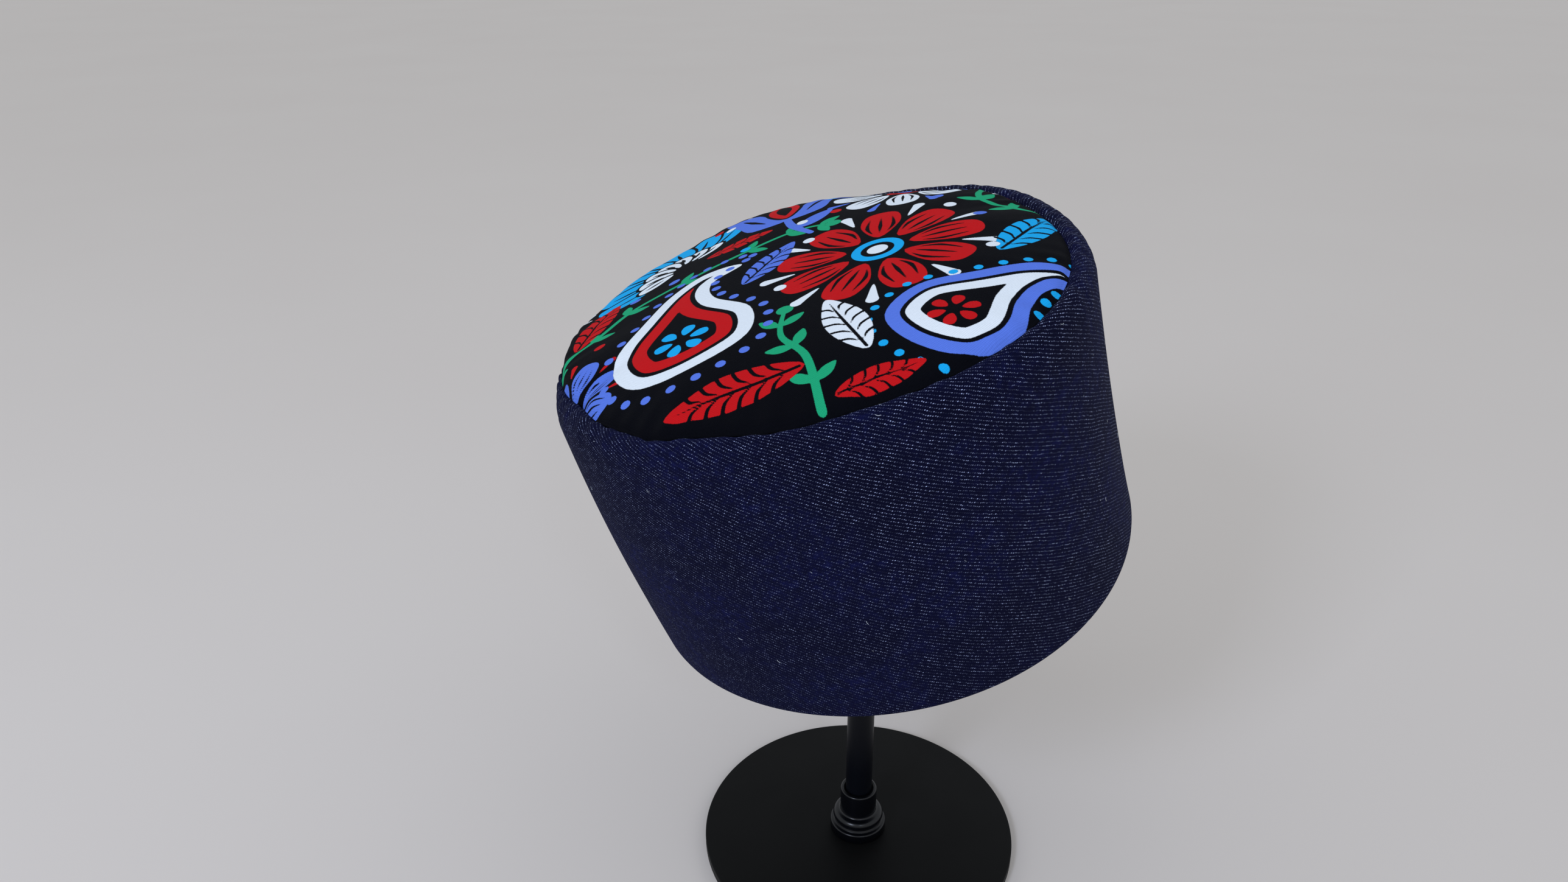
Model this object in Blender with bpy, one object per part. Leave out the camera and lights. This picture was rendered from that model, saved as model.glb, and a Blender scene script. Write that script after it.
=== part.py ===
"""A kufi held tilted on a small black hat stand.

The kufi is a round brimless cap: a tall denim band, folded at its rim and rolled over at the shoulder, and
a slightly domed crown of printed cotton sewn in at the top. The stand is a steel plate, a turned foot, a rod
and a dome inside the cap on which the crown lies.

Metres, +Z up. The origin is the centre of the plate's underside, and the front of the stand faces -Y.
"""

import math

import bmesh
import bpy
from mathutils import Vector
from mathutils.bvhtree import BVHTree

MM = 0.001
GAP = 0.3 * MM

# Kufi: the cap's own frame has its origin at the rim's centre and +Z out through the crown
RIM_CENTRE = Vector((7.4, 13.5, 136.8)) * MM
LEAN_FORWARD = math.radians(5.6)
LEAN_LEFT = math.radians(16.2)

RIM_RADIUS = 92.6 * MM
SHOULDER_RADIUS = 93.0 * MM
SHOULDER_HEIGHT = 95.9 * MM
SEAM_HEIGHT = 105.5 * MM
RIM_FADE = 1.8
BAND_WALL = 2.8 * MM

# How far the soft band is out of round, in mm, at the rim and at the shoulder, for two, three and four waves
OUT_OF_ROUND = (
    # waves, rim cosine, rim sine, shoulder cosine, shoulder sine
    (2, -3.5, -2.0, -1.7, -3.3),
    (3, -0.4, 0.3, 0.0, 0.0),
    (4, -0.3, 0.6, -1.6, -0.4),
)

# The cap has sagged a little: its shoulder stands off from the rim's axis, and its middle bows further out
SHOULDER_SHIFT = Vector((-1.0, -6.3)) * MM
MIDDLE_BOW = Vector((-1.4, -0.6)) * MM

# How far in from the shoulder the crown seam lies: its mean, and how the sewing drifts round the cap
SEAM_INSET = 9.3 * MM
SEAM_INSET_COSINE = -1.4 * MM
SEAM_INSET_SINE = 4.7 * MM

# At the back left the crown's cloth is drawn over the shoulder's edge: the seam lies low, close to the wall
DRAWN_ANGLE = math.radians(141.0)
DRAWN_SPREAD = math.radians(62.0)
DRAWN_INSET = 10.9 * MM
DRAWN_DROP = 4.0 * MM
DRAWN_REACH = 2.2 * MM
DRAWN_LEAN = 1.0 * MM

CROWN_WALL = 1.4 * MM
CROWN_RISE = 9.0 * MM
CROWN_FLATNESS = 4.0
CROWN_EDGE_DROP = 0.6 * MM

# The crown falls away in one flat facet at the back left, beyond a soft ridge
FACET_ANGLE = math.radians(154.0)
FACET_START = 32.0 * MM
FACET_END = 82.0 * MM
FACET_DROP = 9.7 * MM
FACET_SOFTNESS = 1.2 * MM

# Tucks where the crown's edge is eased into the seam
TUCKS = (
    # angle in degrees, length, depth and width in mm
    (213.0, 26.0, 1.8, 7.0),
    (243.0, 12.0, 0.8, 6.0),
    (322.0, 14.0, 0.7, 8.0),
    (48.0, 12.0, 0.7, 8.0),
)

# Stand
PLATE_RADIUS = 63.1 * MM
PLATE_THICKNESS = 4.0 * MM
PLATE_BEVEL = 0.6 * MM
ROD_RADIUS = 5.3 * MM
FLANGE_RADIUS = 11.3 * MM
FLANGE_TOP = 8.4 * MM
GROOVE_RADIUS = 9.6 * MM
GROOVE_TOP = 9.2 * MM
BEAD_RADIUS = 10.2 * MM
BEAD_TOP = 13.4 * MM
COLLAR_RADIUS = 7.3 * MM
COLLAR_START = 14.4 * MM
COLLAR_TOP = 24.5 * MM
EDGE_ROUND = 0.7 * MM
REST_CURVE_RADIUS = 48.0 * MM
REST_RADIUS = 40.0 * MM
REST_LIP = 4.0 * MM
REST_LIP_BEVEL = 1.6 * MM
SOCKET_DEPTH = 16.0 * MM

# Mesh fineness
CAP_SEGMENTS = 64
PLATE_SEGMENTS = 64
FOOT_SEGMENTS = 40
ROD_SEGMENTS = 32
REST_SEGMENTS = 48


# Surfaces of the cap, in its own frame


def band_radius(angle, up):
    """Outer radius of the band at an angle, from the rim (up = 0) to the shoulder (up = 1)."""
    rim_share = (1.0 - up) ** RIM_FADE
    radius = SHOULDER_RADIUS + (RIM_RADIUS - SHOULDER_RADIUS) * rim_share
    for waves, rim_cos, rim_sin, top_cos, top_sin in OUT_OF_ROUND:
        cosine = top_cos + (rim_cos - top_cos) * rim_share
        sine = top_sin + (rim_sin - top_sin) * rim_share
        radius += MM * (cosine * math.cos(waves * angle) + sine * math.sin(waves * angle))
    return radius


def cap_point(angle, up, radius, height):
    """A point of the cap: the band's centre drifts and bows sideways as it climbs."""
    shift = SHOULDER_SHIFT * up + MIDDLE_BOW * 4.0 * up * (1.0 - up)
    return Vector((shift.x + radius * math.cos(angle), shift.y + radius * math.sin(angle), height))


def soft_min(a, b, softness):
    """The lower of two heights, rounded off by the softness where they cross."""
    return 0.5 * (a + b) - math.sqrt(0.25 * (a - b) ** 2 + softness**2)


def turn_between(a, b):
    """The unsigned angle between two directions."""
    return abs((a - b + math.pi) % (2.0 * math.pi) - math.pi)


def drawn_over(angle):
    """How far, from 0 to 1, the crown's cloth is drawn over the shoulder's edge."""
    return math.exp(-((turn_between(angle, DRAWN_ANGLE) / DRAWN_SPREAD) ** 4))


def drawn_edge(angle, from_seam):
    """The same, fading with the distance from the seam."""
    return drawn_over(angle) * math.exp(-((from_seam / DRAWN_REACH) ** 1.5))


def seam_inset(angle):
    even = SEAM_INSET + SEAM_INSET_COSINE * math.cos(angle) + SEAM_INSET_SINE * math.sin(angle)
    return even - DRAWN_INSET * drawn_over(angle)


def seam_radius(angle):
    return band_radius(angle, 1.0) - seam_inset(angle)


def smooth_crown(angle, share):
    """Height of the untucked crown over SEAM_HEIGHT, from its centre (share = 0) to the seam (share = 1)."""
    dome = CROWN_RISE * (1.0 - share**CROWN_FLATNESS)
    across = share * seam_radius(angle) * math.cos(angle - FACET_ANGLE)
    facet = CROWN_RISE - FACET_DROP * (across - FACET_START) / (FACET_END - FACET_START)
    from_seam = (1.0 - share) * seam_radius(angle)
    return soft_min(dome, facet, FACET_SOFTNESS) - DRAWN_DROP * drawn_edge(angle, from_seam)


def seam_level(angle):
    """Height of the seam over SEAM_HEIGHT: it sinks at the back left."""
    return smooth_crown(angle, 1.0)


def crown_height(angle, share):
    """Height of the crown's outer face over SEAM_HEIGHT, with its tucks."""
    height = smooth_crown(angle, share)
    from_seam = (1.0 - share) * seam_radius(angle)
    for degrees, length, depth, width in TUCKS:
        sideways = turn_between(angle, math.radians(degrees)) * share * seam_radius(angle)
        along = max(0.0, 1.0 - from_seam / (length * MM))
        height -= depth * MM * along * math.exp(-((sideways / (0.5 * width * MM)) ** 2))
    return height


# Mesh building


def skin(rings):
    """A closed mesh through equal rings, with single points as its end rings or the last joined to the first."""
    mesh = bmesh.new()
    loops = [[mesh.verts.new(point) for point in ring] for ring in rings]
    pairs = list(zip(loops, loops[1:]))
    if len(loops[0]) > 1:
        pairs.append((loops[-1], loops[0]))
    for lower, upper in pairs:
        count = max(len(lower), len(upper))
        for i in range(count):
            j = (i + 1) % count
            if len(lower) == 1:
                mesh.faces.new((lower[0], upper[j], upper[i]))
            elif len(upper) == 1:
                mesh.faces.new((lower[i], lower[j], upper[0]))
            else:
                mesh.faces.new((lower[i], lower[j], upper[j], upper[i]))
    bmesh.ops.triangulate(mesh, faces=mesh.faces[:])
    bmesh.ops.recalc_face_normals(mesh, faces=mesh.faces[:])
    return mesh


def angles(segments):
    return [2.0 * math.pi * i / segments for i in range(segments)]


def turned(profile, segments):
    """A lathe-turned mesh from (radius, height) points, where a radius of 0 is a point on the axis."""
    rings = []
    for radius, height in profile:
        if radius == 0.0:
            rings.append([Vector((0.0, 0.0, height))])
        else:
            turn = angles(segments)
            rings.append([Vector((radius * math.cos(a), radius * math.sin(a), height)) for a in turn])
    return skin(rings)


def arc(centre, radius, start, end, steps):
    """Points of (radius, height) along an arc, its angles in degrees from the outward direction."""
    points = []
    for i in range(steps + 1):
        a = math.radians(start + (end - start) * i / steps)
        points.append((centre[0] + radius * math.cos(a), centre[1] + radius * math.sin(a)))
    return points


def material(name, colour, roughness, metallic=0.0):
    made = bpy.data.materials.new(name)
    made.use_nodes = True
    shader = made.node_tree.nodes["Principled BSDF"]
    shader.inputs["Base Color"].default_value = (*colour, 1.0)
    shader.inputs["Roughness"].default_value = roughness
    shader.inputs["Metallic"].default_value = metallic
    return made


def add_piece(name, mesh, finish, parent=None):
    data = bpy.data.meshes.new(name)
    mesh.to_mesh(data)
    mesh.free()
    data.materials.append(finish)
    data.shade_smooth()
    data.set_sharp_from_angle(angle=math.radians(35.0))
    piece = bpy.data.objects.new(name, data)
    bpy.context.scene.collection.objects.link(piece)
    piece.parent = parent
    return piece


# Pieces of the cap


def shoulder_height(angle):
    """Height at which the band starts to roll over."""
    return SHOULDER_HEIGHT + seam_level(angle)


def roll_point(angle, a, out, rise):
    """A point of the shoulder's quarter round, from the wall (a = 0) to the seam (a = a quarter turn)."""
    radius = seam_radius(angle) + out * math.cos(a)
    return cap_point(angle, 1.0, radius, shoulder_height(angle) + rise * math.sin(a))


def band_mesh():
    """One strip of denim as a wall: a round fold at the rim, a rolled shoulder and a raw edge at the seam."""
    half = 0.5 * BAND_WALL
    roll = SEAM_HEIGHT - SHOULDER_HEIGHT
    climbs = (0.06, 0.14, 0.25, 0.38, 0.52, 0.67, 0.83)
    fold_angles = (-30.0, -90.0, -150.0)
    outer_turns = (0.0, 22.5, 45.0, 67.5, 90.0)
    inner_turns = (90.0, 45.0, 0.0)
    rings = []
    turn = angles(CAP_SEGMENTS)
    for degrees in fold_angles[::-1]:
        a = math.radians(degrees)
        out, rise = half * math.cos(a), half * math.sin(a)
        rings.append([cap_point(t, 0.0, band_radius(t, 0.0) - half + out, half + rise) for t in turn])
    for up in climbs:
        rings.append([cap_point(t, up, band_radius(t, up), up * shoulder_height(t)) for t in turn])
    for degrees in outer_turns:
        rings.append([roll_point(t, math.radians(degrees), seam_inset(t), roll) for t in turn])
    for degrees in inner_turns:
        a = math.radians(degrees)
        rings.append([roll_point(t, a, seam_inset(t) - BAND_WALL, roll - BAND_WALL) for t in turn])
    for up in climbs[::-1]:
        reach = [band_radius(t, up) - BAND_WALL for t in turn]
        rings.append([cap_point(t, up, r, up * shoulder_height(t)) for t, r in zip(turn, reach)])
    return skin(rings)


def crown_edge(depth):
    """Points along the crown's edge, which stands against the band's top edge."""
    points = []
    for t in angles(CAP_SEGMENTS):
        reach = seam_radius(t) - GAP
        if depth:
            reach -= DRAWN_LEAN * drawn_over(t)
        points.append(cap_point(t, 1.0, reach, SEAM_HEIGHT + seam_level(t) - CROWN_EDGE_DROP - depth))
    return points


def crown_ring(share, depth):
    """Points at a share of the way out, on the outer face or a depth below it and inside its steep edge."""
    points = []
    for t in angles(CAP_SEGMENTS):
        reach = share * seam_radius(t)
        if depth:
            reach -= DRAWN_LEAN * drawn_edge(t, (1.0 - share) * seam_radius(t))
        points.append(cap_point(t, 1.0, reach, SEAM_HEIGHT + crown_height(t, share) - depth))
    return points


def crown_face(depth):
    """The crown's outer face, or the face a depth below it, from its edge to its top."""
    shares = (0.985, 0.97, 0.95, 0.88, 0.79, 0.68, 0.55, 0.4, 0.22)
    top = cap_point(0.0, 1.0, 0.0, SEAM_HEIGHT + crown_height(0.0, 0.0) - depth)
    return [crown_edge(depth)] + [crown_ring(share, depth) for share in shares] + [[top]]


def crown_mesh():
    """The crown as a domed wall."""
    return skin(crown_face(0.0)[::-1] + crown_face(CROWN_WALL))


# Pieces of the stand


def plate_profile():
    edge = PLATE_RADIUS - PLATE_BEVEL
    return (
        (0.0, 0.0),
        (edge, 0.0),
        (PLATE_RADIUS, PLATE_BEVEL),
        (PLATE_RADIUS, PLATE_THICKNESS - PLATE_BEVEL),
        (edge, PLATE_THICKNESS),
        (0.0, PLATE_THICKNESS),
    )


def foot_profile():
    """From the bore outwards: flange, groove, round bead, flare and collar, then back to the bore."""
    bore = ROD_RADIUS + GAP
    bottom = PLATE_THICKNESS + GAP
    bead_half = 0.5 * (BEAD_TOP - GROOVE_TOP)
    bead_middle = 0.5 * (BEAD_TOP + GROOVE_TOP)
    profile = [(bore, bottom), (FLANGE_RADIUS, bottom)]
    profile += arc((FLANGE_RADIUS - EDGE_ROUND, FLANGE_TOP - EDGE_ROUND), EDGE_ROUND, 0.0, 90.0, 3)
    profile += [(GROOVE_RADIUS, FLANGE_TOP), (GROOVE_RADIUS, GROOVE_TOP)]
    profile += arc((BEAD_RADIUS - bead_half, bead_middle), bead_half, -60.0, 75.0, 6)
    flare = COLLAR_START - BEAD_TOP
    profile += arc((COLLAR_RADIUS + flare, COLLAR_START), flare, 255.0, 180.0, 4)
    profile += arc((COLLAR_RADIUS - EDGE_ROUND, COLLAR_TOP - EDGE_ROUND), EDGE_ROUND, 0.0, 90.0, 3)
    profile.append((bore, COLLAR_TOP))
    return profile


def rest_profile(centre_height):
    """A dome about its centre of curvature, with a bevelled lip and a flat underside with a blind socket."""
    edge_turn = math.degrees(math.acos(REST_RADIUS / REST_CURVE_RADIUS))
    dome = arc((0.0, centre_height), REST_CURVE_RADIUS, 90.0, edge_turn, 9)
    top = centre_height + REST_CURVE_RADIUS
    lip_height = dome[-1][1]
    underside = lip_height - REST_LIP
    ceiling = underside + SOCKET_DEPTH
    bore = ROD_RADIUS + GAP
    return [
        (0.0, top),
        *dome[1:],
        (REST_RADIUS, underside + REST_LIP_BEVEL),
        (REST_RADIUS - REST_LIP_BEVEL, underside),
        (bore, underside),
        (bore, ceiling),
        (0.0, ceiling),
    ]


def rest_centre_height(crown):
    """Height on the stand's axis at which a ball of the dome's curve lies just under the crown's inside."""
    bpy.context.view_layer.update()
    mesh = bmesh.new()
    mesh.from_mesh(crown.data)
    mesh.transform(crown.matrix_world)
    tree = BVHTree.FromBMesh(mesh)
    mesh.free()
    low = RIM_CENTRE.z
    high = RIM_CENTRE.z + SEAM_HEIGHT
    for _ in range(40):
        middle = 0.5 * (low + high)
        distance = tree.find_nearest(Vector((0.0, 0.0, middle)))[3]
        if distance > REST_CURVE_RADIUS + GAP:
            low = middle
        else:
            high = middle
    return low


def build():
    for old in list(bpy.data.objects):
        bpy.data.objects.remove(old)

    denim = material("indigo_denim", (0.010, 0.011, 0.045), 0.85)
    print_cotton = material("printed_cotton", (0.55, 0.06, 0.05), 0.8)
    black_steel = material("satin_black_steel", (0.012, 0.012, 0.012), 0.35)
    black_gloss = material("gloss_black_foot", (0.008, 0.008, 0.008), 0.15)
    black_plastic = material("black_plastic", (0.015, 0.015, 0.015), 0.5)

    cap = bpy.data.objects.new("cap_tilt", None)
    bpy.context.scene.collection.objects.link(cap)
    cap.location = RIM_CENTRE
    cap.rotation_mode = "ZYX"
    cap.rotation_euler = (LEAN_FORWARD, -LEAN_LEFT, 0.0)

    add_piece("band", band_mesh(), denim, cap)
    crown = add_piece("crown_tip", crown_mesh(), print_cotton, cap)

    rest = rest_profile(rest_centre_height(crown))
    rod_bottom = PLATE_THICKNESS + GAP
    rod_top = rest[-1][1] - GAP
    rod = ((0.0, rod_bottom), (ROD_RADIUS, rod_bottom), (ROD_RADIUS, rod_top), (0.0, rod_top))

    add_piece("stand_base", turned(plate_profile(), PLATE_SEGMENTS), black_steel)
    add_piece("stand_foot", turned(foot_profile(), FOOT_SEGMENTS), black_gloss)
    add_piece("stand_post", turned(rod, ROD_SEGMENTS), black_steel)
    add_piece("hat_rest", turned(rest, REST_SEGMENTS), black_plastic)


build()
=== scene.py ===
"""A kufi held tilted on a small black hat stand: the finish of every surface.

The sections follow the object as it is put together: the denim band, the printed crown, the lint on the
cloth, the stand from its plate up to the dome inside the cap, and then the floor, the light and the camera.
Sizes are in mm, and the cloth is worked out in the cap's own frame. Only the studio's sizes and places are
in metres, in which everything is placed.
"""

import math

import bpy
import numpy as np
from mathutils import Euler, Matrix, Vector


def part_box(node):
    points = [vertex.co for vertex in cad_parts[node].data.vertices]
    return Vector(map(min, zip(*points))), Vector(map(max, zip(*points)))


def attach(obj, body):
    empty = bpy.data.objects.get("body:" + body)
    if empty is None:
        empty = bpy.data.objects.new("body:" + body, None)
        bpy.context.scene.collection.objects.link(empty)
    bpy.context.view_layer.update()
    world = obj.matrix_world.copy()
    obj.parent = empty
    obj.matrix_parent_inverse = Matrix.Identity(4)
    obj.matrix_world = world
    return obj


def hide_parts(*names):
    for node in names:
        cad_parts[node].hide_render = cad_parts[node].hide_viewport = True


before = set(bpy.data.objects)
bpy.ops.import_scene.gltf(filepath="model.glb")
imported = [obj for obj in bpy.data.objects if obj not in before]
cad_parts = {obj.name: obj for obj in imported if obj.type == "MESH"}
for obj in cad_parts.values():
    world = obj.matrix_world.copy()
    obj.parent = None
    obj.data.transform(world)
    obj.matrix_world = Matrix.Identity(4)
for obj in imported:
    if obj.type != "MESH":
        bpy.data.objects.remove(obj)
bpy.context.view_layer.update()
MM = 0.001


# The band: the cap's side, one strip of raw indigo denim folded along the rim, so that it is double, and
# stiffened. Its top rolls over the shoulder and turns down into the crown seam. The strip's ends meet in one
# plain seam at the back.

RIM_CENTRE = Vector((7.4, 13.5, 136.8)) * MM
LEAN_FORWARD = math.radians(5.6)
LEAN_LEFT = math.radians(16.2)

RIM_RADIUS = 92.6
SHOULDER_RADIUS = 93.0
SHOULDER_HEIGHT = 95.9
SEAM_HEIGHT = 105.5
RIM_FADE = 1.8
BAND_WALL = 2.8
OUT_OF_ROUND = (
    # waves round the cap, then mm: rim cosine, rim sine, shoulder cosine, shoulder sine
    (2, -3.5, -2.0, -1.7, -3.3),
    (3, -0.4, 0.3, 0.0, 0.0),
    (4, -0.3, 0.6, -1.6, -0.4),
)
SHOULDER_SHIFT = (-1.0, -6.3)
MIDDLE_BOW = (-1.4, -0.6)
SEAM_INSET = 9.3
SEAM_INSET_COSINE = -1.4
SEAM_INSET_SINE = 4.7
DRAWN_ANGLE = math.radians(141.0)
DRAWN_SPREAD = math.radians(62.0)
DRAWN_INSET = 10.9
DRAWN_DROP = 4.0
DRAWN_REACH = 2.2
SEAM_DRIFT = (
    # where the sewing strays: angle and half width in degrees, then how much further in it lies, in mm
    (66.0, 17.0, 3.6),
    (214.0, 7.0, 1.2),
    (244.0, 5.0, -1.8),
    (270.0, 9.0, -1.9),
)

CROWN_RISE = 9.0
CROWN_FLATNESS = 4.0
FACET_ANGLE = math.radians(154.0)
FACET_START = 32.0
FACET_END = 82.0
FACET_DROP = 9.7
FACET_SOFTNESS = 1.2

BAND_COLUMNS = 720
WALL_RINGS = 51
INSIDE_RINGS = 24
# Turns of the cloth in degrees: over the shoulder into the seam, round the rim's fold, and inside
SHOULDER_TURNS = (90, 88, 86, 84, 81, 78, 74, 70, 65, 59, 52, 45, 37, 28, 19, 9.5)
FOLD_TURNS = (-22, -45, -67, -90, -112, -135, -158)
INSIDE_TURNS = (18, 36, 54, 72, 90)

BACK_SEAM = math.radians(96.0)
BACK_SEAM_DEPTH = 0.5
BACK_SEAM_WIDTH = 1.1
STRIP_LENGTH = 585.0
SEAM_DIP = 1.5
SEAM_DIP_WIDTH = 1.3
SEAM_EDGES = (3.0, 2.184)
INSIDE_SINK = 1.0

# Relief of the wall: so many waves laid over each other, counted round the cap, between two numbers of waves.
# They lean by up to so many radians for each mm that they climb, and swells fade towards the rim and the seam
PUCKER = 0.32
PUCKER_REACH = 11.0
PUCKER_WAVES = (42, 78)
PUCKER_COUNT = 5
SWELL = 0.42
SWELL_WAVES = (2, 11)
SWELL_COUNT = 9
SWELL_CLEAR_OF_RIM = 30.0
SWELL_CLEAR_OF_SEAM = 12.0
WAVE_LEAN = 0.035
DENIM_SEED = 11

# The twill's yarns and the unevenness of the cloth, each a real size in mm. The repeat is counted in yarns
TWILL_REPEAT = 4.0
WARP_PITCH = 0.32
WEFT_PITCH = 0.53
WANDER_SIZE = 16.7
TREMBLE_SIZE = 1.43
FUZZ_SIZE = 0.67
CLUSTER_SIZE = 3.6
MOTTLE_SIZE = 3.0
NAP_PATCH = 42.0
STREAK_LENGTH = 37.0
STREAK_WIDTH = 1.1
DENIM_RELIEF = 0.12
DYE_COLOURS = ("#040518", "#090b2a")
NAP_COLOUR = "#111648"
WEFT_COLOUR = "#b2bfe8"


def band_radius(angle, up):
    """Outer radius of the band in mm at an angle, from the rim (up = 0) to the shoulder (up = 1)."""
    rim_share = (1.0 - up) ** RIM_FADE
    radius = SHOULDER_RADIUS + (RIM_RADIUS - SHOULDER_RADIUS) * rim_share
    for waves, rim_cos, rim_sin, top_cos, top_sin in OUT_OF_ROUND:
        cosine = top_cos + (rim_cos - top_cos) * rim_share
        sine = top_sin + (rim_sin - top_sin) * rim_share
        radius = radius + cosine * np.cos(waves * angle) + sine * np.sin(waves * angle)
    return radius


def cap_points(angle, up, radius, height):
    """Points in the cap's frame, in mm: the band's centre drifts and bows sideways as it climbs."""
    bow = 4.0 * up * (1.0 - up)
    x = SHOULDER_SHIFT[0] * up + MIDDLE_BOW[0] * bow + radius * np.cos(angle)
    y = SHOULDER_SHIFT[1] * up + MIDDLE_BOW[1] * bow + radius * np.sin(angle)
    return np.stack(np.broadcast_arrays(x, y, height), axis=-1)


def turn_between(a, b):
    """The unsigned angle between two directions."""
    return np.abs((a - b + math.pi) % (2.0 * math.pi) - math.pi)


def drawn_over(angle):
    """How far, from 0 to 1, the crown's cloth is drawn over the shoulder's edge: fully at the back left."""
    return np.exp(-((turn_between(angle, DRAWN_ANGLE) / DRAWN_SPREAD) ** 4))


def seam_inset(angle):
    """How far in from the shoulder the crown seam lies, in mm."""
    inset = SEAM_INSET + SEAM_INSET_COSINE * np.cos(angle) + SEAM_INSET_SINE * np.sin(angle)
    for degrees, spread, further in SEAM_DRIFT:
        aside = turn_between(angle, math.radians(degrees)) / math.radians(spread)
        inset = inset + further * np.exp(-(aside**2))
    return inset - DRAWN_INSET * drawn_over(angle)


def seam_radius(angle):
    return band_radius(angle, 1.0) - seam_inset(angle)


def smooth_crown(angle, share):
    """Height in mm of the untucked crown over the seam's own plane, from its centre (0) to the seam (1)."""
    reach = share * seam_radius(angle)
    dome = CROWN_RISE * (1.0 - share**CROWN_FLATNESS)
    across = reach * np.cos(angle - FACET_ANGLE)
    facet = CROWN_RISE - FACET_DROP * (across - FACET_START) / (FACET_END - FACET_START)
    height = 0.5 * (dome + facet) - np.sqrt(0.25 * (dome - facet) ** 2 + FACET_SOFTNESS**2)
    from_seam = (1.0 - share) * seam_radius(angle)
    return height - DRAWN_DROP * drawn_over(angle) * np.exp(-((from_seam / DRAWN_REACH) ** 1.5))


def seam_level(angle):
    """Height in mm of the seam over its own plane: it sinks at the back left."""
    return smooth_crown(angle, 1.0)


def soft_waves(angle, height, count, low, high, seed):
    """Soft random relief over the cloth, about -1 to 1: waves round the cap that lean as they climb."""
    draw = np.random.default_rng(seed)
    total = 0.0
    for _ in range(count):
        waves = draw.integers(low, high + 1)
        lean = draw.uniform(-WAVE_LEAN, WAVE_LEAN)
        turn = draw.uniform(0.0, 2.0 * math.pi)
        total = total + np.sin(waves * angle + lean * height + turn)
    return total / math.sqrt(count)


def seam_dip(distance):
    """How far the cloth sinks, in mm, at a distance in mm from the crown seam."""
    return SEAM_DIP * np.exp(-((distance / SEAM_DIP_WIDTH) ** 1.4))


def to_stand(points):
    """Points of the cap's frame in mm, as places on the stand in metres."""
    turn = np.array(Euler((LEAN_FORWARD, -LEAN_LEFT, 0.0), "ZYX").to_matrix())
    return points @ turn.T * MM + np.array(RIM_CENTRE)


def in_scene(name, data):
    """An object in the scene, made from a mesh, a light or a camera."""
    made = bpy.data.objects.new(name, data)
    bpy.context.scene.collection.objects.link(made)
    return made


def cloth_piece(name, points, faces, flat, finish):
    """An object from points in the cap's frame, its faces, and each corner's place in mm on flat cloth."""
    mesh = bpy.data.meshes.new(name)
    mesh.from_pydata(to_stand(points).tolist(), [], faces)
    layer = mesh.uv_layers.new(name="cloth")
    layer.data.foreach_set("uv", np.asarray(flat, dtype=np.float32).ravel())
    mesh.materials.append(finish)
    mesh.shade_smooth()
    mesh.update()
    return in_scene(name, mesh)


def linear(hex_colour):
    """An sRGB hex colour as the linear RGBA that a shader takes."""
    channels = [int(hex_colour[i : i + 2], 16) / 255.0 for i in (1, 3, 5)]
    return (*[c / 12.92 if c <= 0.04045 else ((c + 0.055) / 1.055) ** 2.4 for c in channels], 1.0)


def add_node(tree, kind, *inputs, **settings):
    """Adds a node with its settings. Its inputs are values, nodes or sockets, in order or in one dict."""
    node = tree.nodes.new(kind)
    for key, value in settings.items():
        setattr(node, key, value)
    named = inputs[0] if inputs and isinstance(inputs[0], dict) else dict(enumerate(inputs))
    for key, value in named.items():
        if isinstance(value, bpy.types.Node):
            value = value.outputs[0]
        if isinstance(value, bpy.types.NodeSocket):
            tree.links.new(value, node.inputs[key])
        else:
            node.inputs[key].default_value = value
    return node


def new_material(name, look):
    """A material whose Principled shader has the given plain values, with its tree and shader."""
    made = bpy.data.materials.new(name)
    made.use_nodes = True
    shader = made.node_tree.nodes["Principled BSDF"]
    for socket, value in look.items():
        shader.inputs[socket].default_value = value
    return made, made.node_tree, shader


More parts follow.
